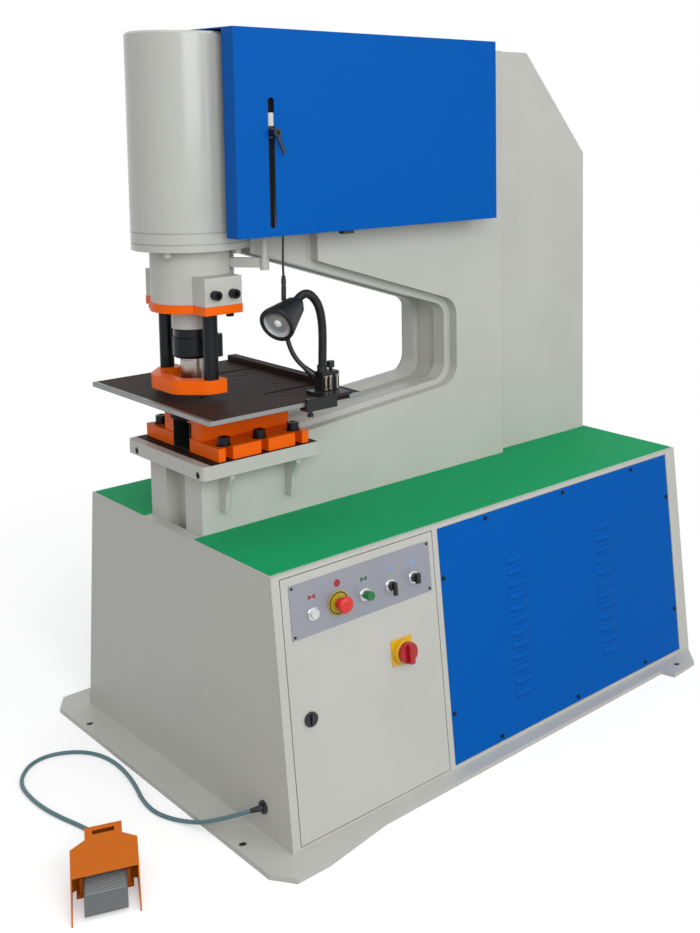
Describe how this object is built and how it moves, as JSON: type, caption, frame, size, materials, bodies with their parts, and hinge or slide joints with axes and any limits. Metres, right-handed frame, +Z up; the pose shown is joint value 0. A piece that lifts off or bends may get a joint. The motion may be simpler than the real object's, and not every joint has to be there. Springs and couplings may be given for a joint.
{
  "type": "ironworker machine",
  "caption": "C-frame hydraulic punching ironworker with a deep throat, work table, round punch and die, stripper, sheet-metal cabinet with controls, work lamp and foot pedal.",
  "frame": {"origin": "on the floor, straight below the centre of the punch, in the middle plane of the C-frame", "axes": "+Z up; +X from the punch to the rear of the machine; -Y towards the door and louvre side; metres"},
  "size_m": [1.9261, 1.2, 1.911],
  "materials": {
    "grey_paint": "satin",
    "blue_paint": "satin",
    "orange_paint": "satin",
    "pedal_paint": "satin",
    "green_mat": "matte",
    "control_sheet": "satin",
    "machined_steel": "satin",
    "table_steel": "satin",
    "tool_steel": "polished",
    "chrome_rod": "polished",
    "black_oxide": "satin",
    "black_paint": "satin",
    "tank_paint": "satin",
    "valve_steel": "satin",
    "zinc_plate": "satin",
    "yellow_plastic": "gloss",
    "red_plastic": "gloss",
    "green_plastic": "gloss",
    "white_plastic": "gloss",
    "black_plastic": "satin",
    "rubber": "matte"
  },
  "bodies": {
    "machine": {"base_plate": "grey_paint", "cabinet_front_wall": "grey_paint", "cabinet_rear_wall": "grey_paint", "cabinet_side_near": "grey_paint", "cabinet_side_far": "grey_paint", "cabinet_top": "grey_paint", "top_mat": "green_mat", "frame_plate_near": "grey_paint", "frame_plate_far": "grey_paint", "frame_doubler_near": "grey_paint", "frame_doubler_far": "grey_paint", "throat_liner": "grey_paint", "frame_spine": "grey_paint", "jaw_front_plate": "grey_paint", "bed_plate": "grey_paint", "bed_front_bar": "machined_steel", "die_holder": "orange_paint", "die": "tool_steel", "die_bolts": "black_oxide", "work_table": "table_steel", "cylinder_barrel": "grey_paint", "guide_housing": "machined_steel", "flange_bolts": "grey_paint", "head_screws": "black_oxide", "stripper_plate": "orange_paint", "stripper_legs": "machined_steel", "stripper_foot": "orange_paint", "upper_cover": "blue_paint", "louvre_panel": "blue_paint", "small_screws": "black_oxide", "lamp_bracket": "black_paint", "lamp_stand": "black_paint", "lamp_head": "black_paint", "lamp_cord": "rubber", "pedal_guard": "pedal_paint", "pedal_base": "black_paint", "cable_gland": "rubber", "pedal_cord": "rubber", "oil_tank": "tank_paint", "motor_pump": "blue_paint", "valve_block": "valve_steel", "switchgear_plate": "zinc_plate"},
    "ram": {"piston_rod": "chrome_rod", "punch_coupling": "machined_steel", "punch": "tool_steel", "stroke_arm": "chrome_rod"},
    "stroke_dog": {"stroke_dog": "black_paint"},
    "clamp_lever": {"clamp_lever": "black_plastic"},
    "door": {"door": "grey_paint", "control_plate": "control_sheet", "control_bezels": "yellow_plastic"},
    "push_white": {"push_white": "white_plastic"},
    "push_green": {"push_green": "green_plastic"},
    "emergency_stop": {"emergency_stop": "red_plastic"},
    "selector_left": {"selector_left": "black_plastic"},
    "selector_right": {"selector_right": "black_plastic"},
    "main_switch": {"main_switch": "red_plastic"},
    "door_lock": {"door_lock": "black_plastic"},
    "fence": {"fence": "table_steel"},
    "treadle": {"treadle": "black_paint"}
  },
  "joints": [
    {"name": "ram_slide", "type": "slide", "parent": "machine", "child": "ram", "axis": [0, 0, -1], "range_m": [0, 0.06]},
    {"name": "stroke_dog_slide", "type": "slide", "parent": "machine", "child": "stroke_dog", "axis": [0, 0, 1], "range_m": [-0.2, 0.06]},
    {"name": "clamp_lever_turn", "type": "hinge", "parent": "stroke_dog", "child": "clamp_lever", "pos_m": [0.095, -0.255, 1.657], "axis": [0, 1, 0], "range_deg": [-90, 60]},
    {"name": "door_hinge", "type": "hinge", "parent": "machine", "child": "door", "pos_m": [0.382, -0.5127, 0.3339], "axis": [0, 0.106, 0.9944], "range_deg": [0, 105]},
    {"name": "push_white_slide", "type": "slide", "parent": "door", "child": "push_white", "axis": [0, 0.9944, -0.106], "range_m": [0, 0.004], "stiffness_N_per_m": 500, "springref_m": -0.002},
    {"name": "push_green_slide", "type": "slide", "parent": "door", "child": "push_green", "axis": [0, 0.9944, -0.106], "range_m": [0, 0.004], "stiffness_N_per_m": 500, "springref_m": -0.002},
    {"name": "emergency_stop_slide", "type": "slide", "parent": "door", "child": "emergency_stop", "axis": [0, 0.9944, -0.106], "range_m": [0, 0.006]},
    {"name": "selector_left_turn", "type": "hinge", "parent": "door", "child": "selector_left", "pos_m": [0.238, -0.48987, 0.53863], "axis": [0, -0.9944, 0.106], "range_deg": [-45, 45]},
    {"name": "selector_right_turn", "type": "hinge", "parent": "door", "child": "selector_right", "pos_m": [0.31, -0.48987, 0.53863], "axis": [0, -0.9944, 0.106], "range_deg": [-45, 45]},
    {"name": "main_switch_turn", "type": "hinge", "parent": "door", "child": "main_switch", "pos_m": [0.258, -0.50799, 0.36859], "axis": [0, -0.9944, 0.106], "range_deg": [-90, 0]},
    {"name": "door_lock_turn", "type": "hinge", "parent": "door", "child": "door_lock", "pos_m": [-0.018, -0.51552, 0.29799], "axis": [0, -0.9944, 0.106], "range_deg": [-90, 0]},
    {"name": "fence_slide", "type": "slide", "parent": "machine", "child": "fence", "axis": [-1, 0, 0], "range_m": [0, 0.15]},
    {"name": "treadle_hinge", "type": "hinge", "parent": "machine", "child": "treadle", "pos_m": [-0.43596, -0.3322, 0.031], "axis": [0.9164, -0.4003, 0], "range_deg": [0, 4], "stiffness_Nm_per_rad": 20, "springref_deg": -4.58}
  ]
}
